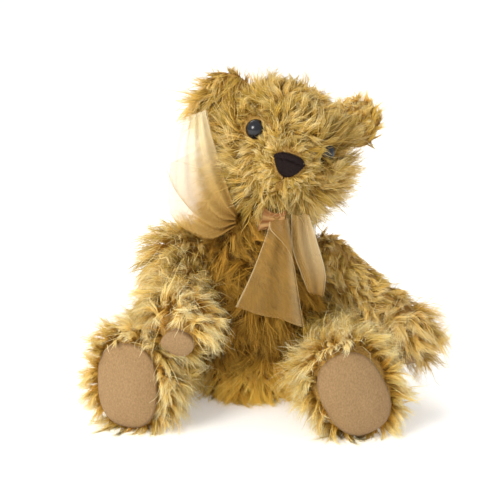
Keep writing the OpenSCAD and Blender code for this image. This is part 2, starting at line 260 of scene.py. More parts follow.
def mottle(material, shader, dark, light, scale, detail, stretch=(1, 1, 1), bump=None):
    """Base colour from noise between two colours, and bumps of a given strength and height."""
    place = add_node(material, "ShaderNodeTexCoord")
    mapping = add_node(material, "ShaderNodeMapping", Scale=stretch)
    noise = add_node(material, "ShaderNodeTexNoise", Scale=scale, Detail=detail)
    ramp = add_node(material, "ShaderNodeValToRGB")
    ramp.color_ramp.elements[0].position = 0.3
    ramp.color_ramp.elements[0].color = (*dark, 1)
    ramp.color_ramp.elements[1].position = 0.7
    ramp.color_ramp.elements[1].color = (*light, 1)
    link(material, place.outputs["Object"], mapping.inputs["Vector"])
    link(material, mapping.outputs["Vector"], noise.inputs["Vector"])
    link(material, noise.outputs["Fac"], ramp.inputs["Fac"])
    link(material, ramp.outputs["Color"], shader.inputs["Base Color"])
    if bump:
        bumps = add_node(material, "ShaderNodeBump", Strength=bump[0], Distance=bump[1])
        link(material, noise.outputs["Fac"], bumps.inputs["Height"])
        link(material, bumps.outputs["Normal"], shader.inputs["Normal"])


def mixed(material, first, second):
    """Gives a material a mix of two shaders. Returns the socket that holds the second one's share."""
    mix = add_node(material, "ShaderNodeMixShader")
    link(material, first.outputs["BSDF"], mix.inputs[1])
    link(material, second.outputs["BSDF"], mix.inputs[2])
    link(material, mix.outputs["Shader"], material.node_tree.nodes["Material Output"].inputs["Surface"])
    return mix.inputs[0]


def pile_material():
    """Mohair strands: each strand's own colour, with a golden gloss, and light that passes through."""
    material, shader = new_material("mohair_pile", (0.6, 0.38, 0.1), 0.42, Specular_IOR_Level=0.10,
                                    Specular_Tint=(1, 0.80, 0.45, 1))
    tint = add_node(material, "ShaderNodeAttribute", attribute_name="pile_colour")
    link(material, tint.outputs["Color"], shader.inputs["Base Color"])
    through = add_node(material, "ShaderNodeBsdfTranslucent")
    link(material, tint.outputs["Color"], through.inputs["Color"])
    mixed(material, shader, through).default_value = 0.25
    return material


def backing_material():
    """The woven backing and the dense root of the pile."""
    material, shader = new_material("mohair_backing", (0.45, 0.25, 0.07), 0.9)
    mottle(material, shader, (0.22, 0.11, 0.018), (0.46, 0.27, 0.055), 900, 4, bump=(0.8, 1.2 * MM))
    return material


def felt_material():
    material, shader = new_material("felt_pad", (0.6, 0.4, 0.26), 0.92, Specular_IOR_Level=0.15,
                                    Sheen_Weight=0.12, Sheen_Roughness=0.5, Sheen_Tint=(1, 0.8, 0.6, 1))
    dark, light = (0.242, 0.146, 0.066), (0.338, 0.214, 0.102)
    mottle(material, shader, dark, light, 1300, 8, stretch=(1, 1, 0.6), bump=(0.35, 0.4 * MM))
    return material


def thread_material():
    material, shader = new_material("satin_thread", (0.02, 0.01, 0.01), 0.5, Specular_IOR_Level=0.12)
    dark, light = (0.005, 0.0025, 0.002), (0.018, 0.008, 0.006)
    mottle(material, shader, dark, light, 1600, 3, bump=(0.3, 0.1 * MM))
    return material


def glass_material():
    material, shader = new_material("black_glass", (0.006, 0.008, 0.012), 0.22)
    mottle(material, shader, (0.002, 0.002, 0.003), (0.006, 0.008, 0.012), 260, 2)
    return material


def board_material():
    material, shader = new_material("pressed_board", (0.32, 0.2, 0.1), 0.8)
    mottle(material, shader, (0.2, 0.12, 0.06), (0.36, 0.24, 0.13), 700, 5, bump=(0.3, 0.2 * MM))
    return material


def steel_material():
    material, shader = new_material("zinc_steel", (0.6, 0.61, 0.63), 0.35, Metallic=1)
    mottle(material, shader, (0.42, 0.43, 0.45), (0.68, 0.69, 0.71), 500, 3, stretch=(1, 1, 6))
    return material


def organza_material():
    """Sheer ribbon: fine crossed threads that let light through, and denser woven edges."""
    material, shader = new_material("organza", (0.85, 0.6, 0.38), 0.42, Specular_IOR_Level=0.2)
    tint = add_node(material, "ShaderNodeAttribute", attribute_name="ribbon_colour")
    cover = add_node(material, "ShaderNodeAttribute", attribute_name="ribbon_cover")
    link(material, tint.outputs["Color"], shader.inputs["Base Color"])
    clear = add_node(material, "ShaderNodeBsdfTransparent")
    link(material, cover.outputs["Fac"], mixed(material, clear, shader))
    return material


PILE = pile_material()
BACKING = backing_material()
FELT = felt_material()
THREAD = thread_material()
GLASS = glass_material()
BOARD = board_material()
STEEL = steel_material()
ORGANZA = organza_material()


def wear(obj, material):
    obj.data.materials.clear()
    obj.data.materials.append(material)


def dress(obj, material, body, slot, *replaced):
    """Gives a piece its material and the body it rides on, and hides the CAD nodes that it stands for. slot
    is not used.
    """
    wear(obj, material)
    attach(obj, body)
    if replaced:
        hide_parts(*replaced)


def dress_hardware():
    """The CAD nodes that stay: discs, washers, bolts, nuts and eyes."""
    for name, node in nodes.items():
        if name.endswith("_disc"):
            wear(node, BOARD)
        elif name.endswith("_eye"):
            wear(node, GLASS)
        elif any(word in name for word in ("washer", "bolt", "nut")):
            wear(node, STEEL)


# ------ stuffed shells

VOXEL = 3.0 * MM            # mesh size of the large skins
EAR_VOXEL = 1.6 * MM
PUFF_CAP = 1.2 * MM         # the furthest that the cloth simulation may move a point
PUFF_FRAMES = 20            # how long it runs


def merged_copy(name, parts):
    """One new object that holds copies of several CAD meshes."""
    bm = bmesh.new()
    for part in parts:
        bm.from_mesh(nodes[part].data)
    mesh = bpy.data.meshes.new(name)
    bm.to_mesh(mesh)
    bm.free()
    return in_scene(name, mesh)


def keep_outside(mesh):
    """Deletes every separate surface but the largest, which is the outside."""
    bm = bmesh.new()
    bm.from_mesh(mesh)
    bm.verts.ensure_lookup_table()
    left = set(range(len(bm.verts)))
    groups = []
    while left:
        todo = [left.pop()]
        group = list(todo)
        while todo:
            for edge in bm.verts[todo.pop()].link_edges:
                for v in edge.verts:
                    if v.index in left:
                        left.remove(v.index)
                        todo.append(v.index)
                        group.append(v.index)
        groups.append(group)
    groups.sort(key=len)
    inner = [bm.verts[i] for group in groups[:-1] for i in group]
    bmesh.ops.delete(bm, geom=inner, context="VERTS")
    bm.to_mesh(mesh)
    bm.free()


def puff(obj, fixed):
    """Blows a closed skin up a little with a cloth simulation. fixed is how held each point is, 0 to 1."""
    rest = points_of(obj.data)
    group = obj.vertex_groups.new(name="held")
    for i in np.nonzero(fixed > 0.5)[0]:
        group.add([int(i)], 1.0, "REPLACE")
    cloth = obj.modifiers.new("puff", "CLOTH")
    cloth.settings.quality = 4
    cloth.settings.mass = 0.02
    cloth.settings.use_pressure = True
    cloth.settings.uniform_pressure_force = 4
    cloth.settings.effector_weights.gravity = 0
    cloth.settings.vertex_group_mass = "held"
    cloth.collision_settings.use_collision = False
    cloth.point_cache.frame_start = 1
    cloth.point_cache.frame_end = PUFF_FRAMES
    for number in range(1, PUFF_FRAMES + 1):
        scene.frame_set(number)
    dg = bpy.context.evaluated_depsgraph_get()
    mesh = obj.evaluated_get(dg).to_mesh()
    moved = points_of(mesh) - rest
    obj.evaluated_get(dg).to_mesh_clear()
    obj.modifiers.remove(cloth)
    obj.vertex_groups.clear()
    scene.frame_set(1)
    size = np.linalg.norm(moved, axis=1, keepdims=True)
    moved *= np.minimum(1, PUFF_CAP / np.maximum(size, 1e-9))
    set_points(obj.data, rest + moved * (1 - fixed[:, None]))


def joint_frame(joint):
    j = joints[joint]
    return np.array(j["pos_m"]), unit(np.array(j["axis"]))


def near_joint(p, reach, depth):
    """1 where a point lies by a joint's plane, close to its axis, and 0 away from every joint."""
    found = np.zeros(len(p))
    for joint in joints:
        place, axis = joint_frame(joint)
        offset = p - place
        along = offset @ axis
        out = np.linalg.norm(offset - along[:, None] * axis, axis=1)
        by_axis = smooth((reach - out) / (3 * MM) + 1)
        by_plane = smooth((depth - np.abs(along)) / (2 * MM) + 1)
        found = np.maximum(found, by_axis * by_plane)
    return found


def near_trim(p):
    """1 where an eye, the nose or a pad is sewn on, and 0 away from them."""
    found = np.zeros(len(p))
    for node in ("right_eye", "left_eye", "nose", *PADS):
        low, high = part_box(node)
        reach = max(high[i] - low[i] for i in range(3)) / 2
        out = np.linalg.norm(p - centre(node), axis=1)
        found = np.maximum(found, smooth((reach - out) / (5 * MM) + 1))
    return found


def outer_skin(name, parts, voxel, rounds):
    """The outside of some CAD meshes as one even, slightly relaxed mesh."""
    skin = merged_copy(name, parts)
    remesh = skin.modifiers.new("even", "REMESH")
    remesh.mode = "VOXEL"
    remesh.voxel_size = voxel
    applied(skin)
    keep_outside(skin.data)
    even_out(skin.data, rounds)
    return skin


def stuffed_skin(body):
    """A body's fabric skin, filled out by its stuffing."""
    shell, stuffing = f"{body}_shell", f"{body}_stuffing"
    skin = outer_skin(f"{body}_skin", [shell, stuffing], VOXEL, 2)
    p = points_of(skin.data)
    puff(skin, np.maximum(near_joint(p, 26 * MM, 2 * MM), near_trim(p)))
    skin.modifiers.new("round", "SUBSURF").levels = 1
    applied(skin)
    dress(skin, BACKING, body, "mohair", shell, stuffing)
    return skin


def even_out(mesh, rounds):
    """Relaxes a mesh a little along its edges."""
    edges = np.array([e.vertices[:] for e in mesh.edges])
    count = np.bincount(edges.ravel(), minlength=len(mesh.vertices))[:, None]
    for _ in range(rounds):
        p = points_of(mesh)
        total = np.zeros_like(p)
        np.add.at(total, edges[:, 0], p[edges[:, 1]])
        np.add.at(total, edges[:, 1], p[edges[:, 0]])
        set_points(mesh, p + 0.5 * (total / np.maximum(count, 1) - p))


def ear_skin(node):
    """An ear: the CAD flap, cupped forward so that its rim curls in."""
    middle, axes, _ = axes_of(node)
    normal = axes[0] * (-1 if axes[0][1] > 0 else 1)
    skin = outer_skin(f"{node}_skin", [node], EAR_VOXEL, 3)
    p = points_of(skin.data)
    from_middle = p - middle
    out = np.linalg.norm(from_middle - dot(from_middle, normal) * normal, axis=1) / (16 * MM)
    outward = smooth(dot(unit(middle - centre("head_shell"))[None, :], from_middle)[:, 0] / (14 * MM) + 0.6)
    p += normal * (5 * MM * out**2 * outward)[:, None]
    set_points(skin.data, p)
    dress(skin, BACKING, "head", "mohair", node)
    return skin


# ------ mohair pile

STEPS = 4                   # straight stretches of a strand
MAX_STRANDS = 27000         # in one piece
LOCK_RADIUS = 2.3 * MM      # of the ring of roots that a lock gathers
ROOT_DEPTH = 0.6 * MM       # how far inside the skin a strand starts
STRAYS = 0.10               # share of the strands that leave their lock
HALF_WAVES = 2.6            # along a lock
FLOOR_GAP = 0.15 * MM       # no strand reaches lower than this
# Painted shade: strands start dark at the root, as if in the shade deep in the pile.
SHADED_ROOT = np.array([0.36, 0.165, 0.018])
HONEY = np.array([0.80, 0.55, 0.11])
CREAM = np.array([0.98, 0.885, 0.55])
GOLD = np.array([0.90, 0.72, 0.26])
STRAW = np.array([0.94, 0.775, 0.43])
TAPER = (1.0, 0.95, 0.8, 0.5)
ROOM = (cad_high - cad_low) * 0.03 + 9.5 * MM       # how far outside the CAD the pile may reach
FURTHEST = (cad_low - ROOM, cad_high + ROOM)


def strand_mesh(name, points, colours):
    """Flat tapered strands of 2 x STEPS + 1 points: two where each step starts, and the tip."""
    strands = len(points)
    per = 2 * STEPS + 1
    first = np.arange(strands)[:, None] * per
    ladder = [first + np.array([[2 * k, 2 * k + 1, 2 * k + 3, 2 * k + 2]]) for k in range(STEPS - 1)]
    quads = np.concatenate(ladder)
    tips = first + np.array([[per - 3, per - 2, per - 1]])
    mesh = bpy.data.meshes.new(name)
    mesh.vertices.add(strands * per)
    mesh.vertices.foreach_set("co", points.astype(np.float32).ravel())
    mesh.loops.add(quads.size + tips.size)
    corners = np.concatenate([quads.ravel(), tips.ravel()])
    mesh.loops.foreach_set("vertex_index", corners.astype(np.int32))
    starts = np.concatenate([np.arange(len(quads)) * 4, quads.size + np.arange(len(tips)) * 3])
    mesh.polygons.add(len(starts))
    mesh.polygons.foreach_set("loop_start", starts.astype(np.int32))
    mesh.polygons.foreach_set("use_smooth", np.ones(len(starts), bool))
    paint(mesh, "pile_colour", colours)
    mesh.update(calc_edges=True)
    return in_scene(name, mesh)


def scatter(skin, rng, density):
    """Random points on a skin, with their normals."""
    mesh = skin.data
    mesh.calc_loop_triangles()
    tri = np.zeros(len(mesh.loop_triangles) * 3, np.int32)
    mesh.loop_triangles.foreach_get("vertices", tri)
    tri = tri.reshape(-1, 3)
    p, n = points_of(mesh)[tri], points_of(mesh, "normal")[tri]
    area = np.linalg.norm(np.cross(p[:, 1] - p[:, 0], p[:, 2] - p[:, 0]), axis=1) / 2
    total = int(area.sum() * density)
    pick = rng.choice(len(tri), total, p=area / area.sum())
    a, b = rng.random((2, total))
    flip = a + b > 1
    a, b = np.where(flip, 1 - a, a), np.where(flip, 1 - b, b)
    weights = np.stack([1 - a - b, a, b], 1)[:, :, None]
    return (p[pick] * weights).sum(1), unit((n[pick] * weights).sum(1))


def lock_ways(rng, normal, combed, side, lift, curl):
    """The way that each lock runs at each step from its root to its tip."""
    count = len(normal)
    lifted = rng.normal(0, 10, count)
    phase = rng.uniform(0, 2 * math.pi, count)
    bend = rng.normal(0, curl, count)
    ways = []
    for k in range(STEPS):
        s = (k + 0.5) / STEPS
        angle = np.radians(lift[0] + (lift[1] - lift[0]) * s + lifted)[:, None]
        wave = (bend + curl * np.sin(phase + HALF_WAVES * math.pi * s))[:, None] * s
        rise = (0.35 * curl * np.cos(phase + HALF_WAVES * math.pi * s))[:, None] * s
        sag = np.array([0, 0, -0.3 * s])
        ways.append(normal * (np.sin(angle) + rise) + combed * np.cos(angle) + side * wave + sag)
    return ways


def lock_strands(rng, root, normal, combed, side, size, ways, hairs):
    """The points of each lock's strands, and which strands stray from it."""
    shape = (len(root), hairs)
    around = rng.uniform(0, 2 * math.pi, shape)
    reach = LOCK_RADIUS * np.sqrt(rng.random(shape))
    ahead = (np.cos(around) * reach)[..., None]
    aside = (np.sin(around) * reach)[..., None]
    offset = combed[:, None] * ahead + side[:, None] * aside
    stray = rng.random(shape) < STRAYS
    loose = rng.normal(0, 1, (*shape, 3)) * np.where(stray, 0.40, 0.07)[..., None]
    long = rng.uniform(0.45, 1.08, shape) ** 0.8 * np.where(stray, 1.25, 1.0)
    step = (size[:, None] * long / STEPS)[..., None]

    middle = [root[:, None] + offset - ROOT_DEPTH * normal[:, None]]
    for way in ways:
        middle.append(middle[-1] + unit(way[:, None] + loose) * step)
    pull = np.where(stray, 0.1, 0.95)[..., None]
    middle = [p - offset * pull * (k / STEPS) ** 0.8 for k, p in enumerate(middle)]

    wide = rng.uniform(0.11, 0.21, shape)[..., None] * MM * np.where(stray, 1.2, 1.0)[..., None]
    facing = unit(normal[:, None] + rng.normal(0, 0.55, (*shape, 3)))
    rows = []
    for k in range(STEPS):
        along = middle[k + 1] - middle[k]
        across = unit(np.cross(along, facing)) * wide * TAPER[k]
        rows += [middle[k] - across, middle[k] + across]
    rows.append(middle[-1])
    points = np.stack(rows, 2).reshape(-1, 2 * STEPS + 1, 3)
    points[..., 2] = np.maximum(points[..., 2], FLOOR_GAP)
    return points, stray


def strand_colours(rng, seed, root, stray, pale, tip_colour, tint):
    """The colour of each point of the strands: dark roots with painted shade, as if deep in the pile, and
    tips that are part tip_colour.
    """
    light = pale(root) + Waves(seed + 2, 45 * MM).at(root) * 0.12 + rng.normal(0, 0.32, len(root))
    light = np.clip(light[:, None] + rng.normal(0, 0.10, stray.shape) + 0.35 * stray, 0, 1)
    glow = np.exp(rng.normal(0, 0.15, len(root)))[:, None] * np.exp(rng.normal(0, 0.07, stray.shape))
    colours = []
    for k in range(STEPS + 1):
        s = k / STEPS
        # Painted shade at the root, easing up to HONEY by 0.6 of the way.
        low = (SHADED_ROOT + (HONEY - SHADED_ROOT) * smooth(s / 0.6)) * (0.8 + 0.4 * light[..., None])
        tip = smooth((s - 0.25) / 0.75) * light
        tone = (low + (tip_colour - low) * tip[..., None]) * glow[..., None]
        colours += [tone, tone] if k < STEPS else [tone]
    colours = np.stack(colours, 2) * tint(root)[:, None, None]
    colours = colours * np.minimum(1, 0.95 / colours.max(-1, keepdims=True))
    return np.maximum(colours, 0.006).reshape(-1, 2 * STEPS + 1, 3)


def grow(name, body, skin, seed, comb, length, skip, pale, tint, locks=0.085e6, hairs=30, lift=(68, 8),
         curl=0.5, swirl=0.6, tip_colour=CREAM, trim=None):
    """Covers a skin with locks of strands.

    comb(p) is the way that the pile is combed, length(p) its length, and skip(p) is where none grows.
    pale(p) is how much of tip_colour its tips have, from 0 to 1, and tint(p) a colour that it is multiplied
    by: its dye, and on the head and torso painted shade and light too.
    locks is how many locks grow on a square metre, hairs how many strands each has, and lift the angle from
    the skin in degrees at a lock's root and at its tip. curl and swirl are how far a lock waves, and how far
    the locks stray from the combed way. A strand with a point where trim(p) is true, or outside FURTHEST, is
    cut off.
    """
    rng = np.random.default_rng(seed)
    root, normal = scatter(skin, rng, locks)
    shown = ~skip(root)
    root, normal = root[shown], normal[shown]
    turn = swirl * Waves(seed + 1, 24 * MM).at(root) + rng.normal(0, 0.3, len(root))
    combed = comb(root)
    combed = unit(combed - dot(combed, normal) * normal)
    combed = combed * np.cos(turn)[:, None] + np.cross(normal, combed) * np.sin(turn)[:, None]
    side = np.cross(normal, combed)
    size = length(root) * np.exp(rng.normal(0, 0.2, len(root)))
    ways = lock_ways(rng, normal, combed, side, lift, curl)
    points, stray = lock_strands(rng, root, normal, combed, side, size, ways, hairs)
    colours = strand_colours(rng, seed, root, stray, pale, tip_colour, tint)

    depth = np.repeat(root[:, 1], hairs)
    every = points.reshape(-1, 3)
    cut = ((every < FURTHEST[0]) | (every > FURTHEST[1])).any(1)
    if trim:
        cut |= trim(every)
    kept = ~cut.reshape(points.shape[:2]).any(1)
    points, colours, depth = points[kept], colours[kept], depth[kept]
    parts = max(1, math.ceil(len(points) / MAX_STRANDS))
    order = np.argsort(depth, kind="stable")        # so that each piece is one slice, front to back
    for i, chosen in enumerate(np.array_split(order, parts)):
        label = name if parts == 1 else f"{name}_{i + 1}"
        pile = strand_mesh(label, points[chosen], colours[chosen])
        dress(pile, PILE, body, "mohair")


# ------ where the pile grows, and how it is combed

NOSE = centre("nose")
EYES = {side: centre(f"{side}_eye") for side in ("right", "left")}
EARS = {side: centre(f"{side}_ear") for side in ("right", "left")}
SKULL = centre("head_shell") + np.array([0, 9 * MM, 0])
PADS = {pad: axes_of(pad) for pad in nodes if pad.endswith(("_foot_pad", "_paw_pad"))}
ROUNDNESS = 2.4             # power of a pad's rounded outline: 2 is an oval, and more is squarer


def far_from(p, place):
    return np.linalg.norm(p - place, axis=-1)


def on_pad(p, pad, margin, depth=6 * MM):
    """True for points over a pad that is margin larger all round, within depth of its plane."""
    middle, axes, sizes = PADS[pad]
    x = (p - middle) @ axes[1] / (sizes[1] / 2 + margin)
    y = (p - middle) @ axes[2] / (sizes[2] / 2 + margin)
    z = np.abs((p - middle) @ axes[0])
    return (np.abs(x) ** ROUNDNESS + np.abs(y) ** ROUNDNESS < 1) & (z < depth)


def head_axes():
    """The face's own left, up and out directions, from the eyes and the nose."""
    right = unit(EYES["left"] - EYES["right"])
    out = unit(NOSE - SKULL)
    up = unit(np.cross(out, right)) * -1
    up = up * np.sign(up[2])
    out = unit(np.cross(up, right))
    out = out * -np.sign(out[1])
    return right, up, out


def eye_trim(p):
    """True close to the eyes. The right one is clear in front too, and the left one is half hidden."""
    eye = EYES["right"]
    way = unit(eye - SKULL)
    ahead = (p - eye) @ way
    from_line = np.linalg.norm(p - eye - ahead[:, None] * way, axis=1)
    in_front = (ahead > 0) & (from_line < 4.8 * MM + 0.2 * ahead)
    return in_front | (far_from(p, eye) < 6.4 * MM) | (far_from(p, EYES["left"]) < 4.6 * MM)


def pad_trim(pad):
    """True in front of a pad, inside its edge."""
    return lambda p: on_pad(p, pad, -2.5 * MM, 20 * MM)


def torso_comb(p):
    out = p * np.array([1, 1, 0])
    return np.array([0, 0, -1.0]) + 0.35 * unit(out)


def torso_skip(p):
    return near_joint(p, 17 * MM, 1.5 * MM) > 0.5


def jowl(p):
    """1 low on the left cheek, where the pile is brushed out, and 0 elsewhere."""
    leftward = smooth((p[:, 0] - SKULL[0] - 8 * MM) / (14 * MM))
    return leftward * smooth((SKULL[2] + 2 * MM - p[:, 2]) / (14 * MM))


def by_eyes(p, reach):
    """Each point's way from the eyes, fading out at half as far again as reach from them."""
    found = np.zeros_like(p)
    for eye in EYES.values():
        found += unit(p - eye) * smooth(1.5 - far_from(p, eye) / reach)[:, None]
    return found


def head_comb(p):
    """Out from the nose over the face, round the eyes, and down behind."""
    away = unit(p - NOSE) + jowl(p)[:, None] * np.array([1.2, 0, -0.1]) + 0.8 * by_eyes(p, 9 * MM)
    right, up, _ = head_axes()
    across, below = (p - NOSE) @ right, -(p - NOSE) @ up
    parted = smooth(1.6 - np.abs(across) / (4 * MM))
    parted = parted * smooth(below / (4 * MM)) * smooth((24 * MM - below) / (8 * MM))
    away += (1.6 * np.sign(across) * parted)[:, None] * right
    back = smooth((p[:, 1] - SKULL[1]) / (30 * MM))[:, None]
    return away * (1 - back) + back * np.array([0, 0.2, -1.0])


def head_length(p):
    """Short by the nose and the eyes, longer on the cheeks than on the crown, and long by the ears."""
    grown = smooth((far_from(p, NOSE) - 9 * MM) / (22 * MM))
    by_eye = smooth((far_from(p, EYES["right"]) - 5 * MM) / (10 * MM))
    crown = smooth((p[:, 2] - SKULL[2] - 12 * MM) / (14 * MM))
    by_ear = sum(smooth(1.4 - far_from(p, ear) / (20 * MM)) for ear in EARS.values())
    return (6.0 + 12 * grown * (0.5 + 0.5 * by_eye) * (1 - 0.5 * crown + 0.45 * jowl(p)) + 6 * by_ear) * MM


def head_skip(p):
    by_eye = (far_from(p, EYES["right"]) < 6.8 * MM) | (far_from(p, EYES["left"]) < 4.6 * MM)
    return by_eye | by_face(p) | (near_joint(p, 20 * MM, 1.5 * MM) > 0.5)


def by_face(p):
    """Where the stitched nose and mouth are."""
    right, up, _ = head_axes()
    x, y = (p - NOSE) @ right, (p - NOSE) @ up
    nose = np.abs(x / (9.0 * MM)) ** 2.2 + np.abs((y - 0.5 * MM) / (7.4 * MM)) ** 2.2 < 1
    parting = (np.abs(x) < 1.5 * MM) & (y < 0) & (y > -15 * MM)
    return (nose | parting) & (p[:, 1] < NOSE[1] + 9 * MM)


def muzzle_skip(p):
    return by_face(p) | (far_from(p, NOSE) > 22 * MM) | (far_from(p, EYES["right"]) < 6 * MM)


def ear_comb(way):
    """Mostly one way, and a little out from the head."""
    return lambda p: np.array(way) + 0.25 * unit(p - SKULL)


def limb_comb(joint, pad, spread, fall):
    """Down the limb, falling by the share fall, and outward round its pad by the share spread."""
    place = joint_frame(joint)[0]
    middle, axes, _ = PADS[pad]
    along = unit(middle - place)

    def comb(p):
        from_pad = p - middle
        ring = unit(from_pad - dot(from_pad, axes[0]) * axes[0])
        close = smooth(1.4 - far_from(p, middle) / (26 * MM))[:, None] * spread
        from_line = (p - place) - dot(p - place, along) * along
        down = along + 0.5 * unit(from_line) + np.array([0, 0, -fall])
        return unit(down) * (1 - 0.6 * close) + ring * 0.9 * close
    return comb


def longer_towards(node, way, least, more):
    """A length in millimetres: least on one side of a node, and more is added where way points."""
    middle = centre(node)
    way = np.array(way)
    return lambda p: (least + more * smooth(0.5 + (p - middle) @ way / (16 * MM))) * MM


def evenly(value):
    """One length, share or colour all over."""
    return lambda p: np.full((len(p), *np.shape(value)), value)


def near_pad(pad, least, reach):
    """How pale a limb's pile is: palest round its pad, and down to the share least away from it."""
    middle = PADS[pad][0]
    return lambda p: least + (1 - least) * smooth(1.6 - far_from(p, middle) / reach)


def behind(p):
    """1 on the bear's back, and 0 on its chest."""
    return smooth(0.5 + (p[:, 1] - centre("torso_shell")[1] - 6 * MM) / (24 * MM))


def torso_tint_shade_and_bounce(p):
    """Painted shade and light: deeper gold on the chest, where it is shaded under the chin and between the
    arms, than low down, where painted bounce light from the floor makes it paler. As pale as the limbs on
    the back.
    """
    low = smooth((44 * MM - p[:, 2]) / (40 * MM))[:, None]
    back = behind(p)[:, None]
    # Painted shade on the chest, and painted floor bounce light low down.
    front = np.array([0.68, 0.54, 0.37]) * (1 - low) + np.array([1.50, 1.50, 1.15]) * low
    return front * (1 - back) + np.array([1.06, 1.07, 1.35]) * back


def head_tint_and_eye_shade(p):
    """An even tint, with painted shade that makes it deeper round the eyes."""
    # Painted shade round the eyes.
    near = sum(smooth(1.6 - far_from(p, eye) / (7 * MM)) for eye in EYES.values())[:, None]
    return np.array([0.87, 0.85, 0.80]) * (1 - np.array([0.35, 0.42, 0.5]) * near)


def torso_pale_and_bounce(p):
    """Palest low down between the legs, which is painted bounce light from the floor, and half pale on the
    back.
    """
    # Painted bounce light low down; the back's paleness is the pile's own colour.
    return np.maximum(0.12 + 0.9 * smooth((38 * MM - p[:, 2]) / (24 * MM)), 0.6 * behind(p))


def limb_skip(pad, margin):
    def skip(p):
        return on_pad(p, pad, margin) | (near_joint(p, 15 * MM, 1.5 * MM) > 0.5)
    return skip


# ------ pads

def dome_faces(rings, spokes):
    """Faces of a closed dome: its top point, rings of points, and its bottom point."""
    faces = []
    for j in range(spokes):
        k = (j + 1) % spokes
        faces.append((0, 1 + j, 1 + k))
        for first in range(1, (rings - 1) * spokes, spokes):
            second = first + spokes
            faces.append((first + j, second + j, second + k, first + k))
        last = 1 + (rings - 1) * spokes
        faces.append((last + j, last + spokes, last + k))
    return faces


def sole(name, node, body, crown):
    """A felt pad: a crowned oval whose edge turns in under the pile."""
    middle, axes, sizes = PADS[node]
    joint = next(j for j in joints if joints[j]["child"] == body)
    normal = axes[0] * np.sign((middle - joint_frame(joint)[0]) @ axes[0])
    half = np.array([sizes[1], sizes[2]]) / 2
    rings, spokes = 14, 64
    wobble = Waves(11, 18 * MM)
    points = [middle + normal * (crown + sizes[0] / 2)]
    for i in range(1, rings + 3):
        rho = min(1.0, i / rings)
        under = max(0, i - rings)
        for j in range(spokes):
            a = 2 * math.pi * j / spokes
            square = (abs(math.cos(a)) ** 2.5 + abs(math.sin(a)) ** 2.5) ** (-1 / 2.5)
            flat = axes[1] * math.cos(a) * half[0] + axes[2] * math.sin(a) * half[1]
            p = middle + flat * square * rho * (1 - 0.08 * under)
            height = crown * (1 - rho**2.6) + sizes[0] / 2 - under * sizes[0] / 2
            points.append(p + normal * (height + 0.25 * MM * wobble.at(p[None])[0] * (1 - rho)))
    points.append(middle - normal * sizes[0] / 2)
    pad = closed_object(name, points, dome_faces(rings + 2, spokes))
    dress(pad, FELT, body, "felt", node)


# ------ nose and mouth

def thread(path, radius, sides=8):
    """Points and faces of a closed thread along a path."""
    path = np.array(path)
    along = unit(np.gradient(path, axis=0))
    helper = np.array([0.3, 0.2, 0.93])
    u = unit(np.cross(along, helper))
    v = np.cross(along, u)
    ring = np.arange(sides) * 2 * math.pi / sides
    taper = np.ones(len(path))
    taper[0] = taper[-1] = 0.35
    body = path[:, None] + radius * taper[:, None, None] * (
        u[:, None] * np.cos(ring)[None, :, None] + v[:, None] * np.sin(ring)[None, :, None])
    faces = []
    for i in range(len(path) - 1):
        for j in range(sides):
            k = (j + 1) % sides
            faces.append((i * sides + j, i * sides + k, (i + 1) * sides + k, (i + 1) * sides + j))
    faces.append(tuple(range(sides))[::-1])
    faces.append(tuple((len(path) - 1) * sides + j for j in range(sides)))
    return body.reshape(-1, 3), faces


def join_shapes(name, shapes):
    """One object from several sets of points and faces."""
    points, faces, base = [], [], 0
    for p, f in shapes:
        points.append(p)
        faces += [tuple(i + base for i in face) for face in f]
        base += len(p)
    return closed_object(name, np.concatenate(points), faces)


def nose_point(x, y, sink):
    """A point on the nose's dome, sink below its skin. x and y run from -1 to 1 across it."""
    right, up, out = head_axes()
    dome = 4.6 * MM * math.sqrt(max(0.03, 1.2 - 0.95 * x * x - 0.75 * y * y))
    return NOSE + right * x * 9.2 * MM + up * y * 7.4 * MM + out * (dome - 2.6 * MM - sink)


def nose_edge(x):
    """Top and bottom of the nose at x: a rounded triangle that is wide at the top."""
    top = 0.92 * (1 - abs(x) ** 3.5 * 0.55)
    bottom = -1.0 + 1.25 * abs(x) ** 2.1
    return top, bottom


def make_nose():
    """Satin stitches laid side by side over a dome that closes the gaps."""
    count, steps = 27, 12
    shapes = []
    for i in range(count):
        x = -0.97 + 1.94 * i / (count - 1)
        top, bottom = nose_edge(x)
        path = [nose_point(x, top + (bottom - top) * k / steps, 0) for k in range(steps + 1)]
        shapes.append(thread(path, 0.47 * MM))
    spokes = 40
    points = [nose_point(0, 0, 0.15 * MM)]
    for ring in (0.5, 0.96):
        for j in range(spokes):
            a = 2 * math.pi * j / spokes
            x = math.cos(a) * ring * 0.97
            top, bottom = nose_edge(x)
            y = (top + bottom) / 2 + math.sin(a) * ring * (top - bottom) / 2
            points.append(nose_point(x, y, 0.2 * MM))
    points.append(nose_point(0, 0, 7 * MM))
    shapes.append((np.array(points), dome_faces(2, spokes)))
    nose = join_shapes("stitched_nose", shapes)
    dress(nose, THREAD, "head", "thread", "nose")


